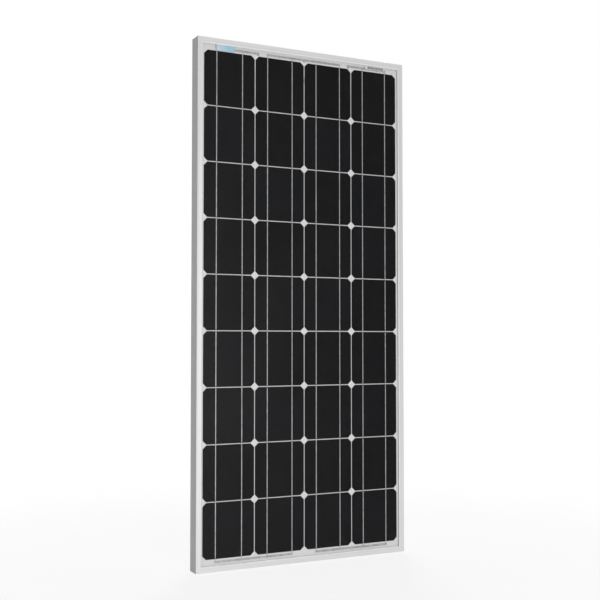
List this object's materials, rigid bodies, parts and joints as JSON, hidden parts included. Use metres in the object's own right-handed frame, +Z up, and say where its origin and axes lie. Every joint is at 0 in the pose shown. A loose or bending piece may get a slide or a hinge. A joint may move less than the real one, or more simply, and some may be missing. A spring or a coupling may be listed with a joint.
{
  "type": "solar panel",
  "caption": "Framed photovoltaic panel: a column-and-row grid of dark silicon wafers behind glass in a mitred aluminium frame, with a hinged junction box on the back.",
  "frame": {"origin": "middle of the bottom edge, halfway through the depth of the frame", "axes": "+Z up along the long rails, -Y the way the glass faces, +X to the right when looking along +Y at the glass"},
  "size_m": [0.541, 0.035, 1.195],
  "materials": {
    "anodised_frame": "satin clear-anodised extrusion",
    "key_aluminium": "mill finish",
    "sealant": "cured white silicone",
    "solar_glass": "low-iron tempered glass, anti-reflection coated",
    "film_clear": "clear encapsulant film",
    "backsheet_white": "matt white laminate film",
    "cell_silicon": "near-black monocrystalline silicon with fine fingers",
    "ribbon_tinned": "tinned copper",
    "insulation_film": "matt white film",
    "adhesive": "black silicone adhesive",
    "box_plastic": "fine-textured black moulding",
    "lid_plastic": "fine-textured black moulding",
    "gland_plastic": "satin black moulding",
    "rubber_black": "soft black rubber",
    "pin_steel": "bright steel",
    "terminal_metal": "tinned copper alloy",
    "diode_body": "moulded black epoxy",
    "sticker_blue": "plain pale blue film sticker",
    "label_paper": "plain printed film label with bars and no lettering"
  },
  "bodies": {
    "panel": {"frame_left": "anodised_frame", "frame_right": "anodised_frame", "frame_top": "anodised_frame", "frame_bottom": "anodised_frame", "corner_key_top_left": "key_aluminium", "corner_key_top_right": "key_aluminium", "corner_key_bottom_left": "key_aluminium", "corner_key_bottom_right": "key_aluminium", "edge_sealant": "sealant", "front_glass": "solar_glass", "front_encapsulant": "film_clear", "rear_encapsulant": "film_clear", "backsheet": "backsheet_white", "cell_string_1": "cell_silicon", "string_ribbons_1": "ribbon_tinned", "cell_string_2": "cell_silicon", "string_ribbons_2": "ribbon_tinned", "cell_string_3": "cell_silicon", "string_ribbons_3": "ribbon_tinned", "cell_string_4": "cell_silicon", "string_ribbons_4": "ribbon_tinned", "bus_top_left": "ribbon_tinned", "bus_top_middle": "ribbon_tinned", "bus_top_right": "ribbon_tinned", "bus_bottom_left": "ribbon_tinned", "bus_bottom_right": "ribbon_tinned", "lead_left": "ribbon_tinned", "lead_middle": "ribbon_tinned", "lead_right": "ribbon_tinned", "insulation_strip": "insulation_film", "adhesive_pad": "adhesive", "box_base": "box_plastic", "lid_gasket": "rubber_black", "hinge_pins": "pin_steel", "terminal_left": "terminal_metal", "terminal_middle": "terminal_metal", "terminal_right": "terminal_metal", "terminal_screws": "pin_steel", "bypass_diode_left": "diode_body", "bypass_diode_right": "diode_body", "gland_body_left": "gland_plastic", "gland_seal_left": "rubber_black", "gland_body_right": "gland_plastic", "gland_seal_right": "rubber_black", "gland_locknuts": "gland_plastic", "front_sticker": "sticker_blue", "serial_label": "label_paper", "rating_label": "label_paper"},
    "lid": {"box_lid": "lid_plastic"},
    "claw_left": {"gland_claw_left": "gland_plastic"},
    "nut_left": {"gland_nut_left": "gland_plastic"},
    "claw_right": {"gland_claw_right": "gland_plastic"},
    "nut_right": {"gland_nut_right": "gland_plastic"}
  },
  "joints": [
    {"name": "lid_hinge", "type": "hinge", "parent": "panel", "child": "lid", "pos_m": [0, 0.0097, 1.1635], "axis": [1, 0, 0], "range_deg": [0, 110]},
    {"name": "gland_left_slide", "type": "slide", "parent": "panel", "child": "claw_left", "axis": [0, 0, -1], "range_m": [0, 0.003]},
    {"name": "gland_left_turn", "type": "hinge", "parent": "claw_left", "child": "nut_left", "pos_m": [-0.03, 0.0011, 1.0678], "axis": [0, 0, -1], "range_deg": [0, 720]},
    {"name": "gland_right_slide", "type": "slide", "parent": "panel", "child": "claw_right", "axis": [0, 0, -1], "range_m": [0, 0.003]},
    {"name": "gland_right_turn", "type": "hinge", "parent": "claw_right", "child": "nut_right", "pos_m": [0.03, 0.0011, 1.0678], "axis": [0, 0, -1], "range_deg": [0, 720]}
  ],
  "couplings": [
    {"joint": "gland_left_slide", "follows": "gland_left_turn", "m_per_rad": 0.00023873},
    {"joint": "gland_right_slide", "follows": "gland_right_turn", "m_per_rad": 0.00023873}
  ]
}
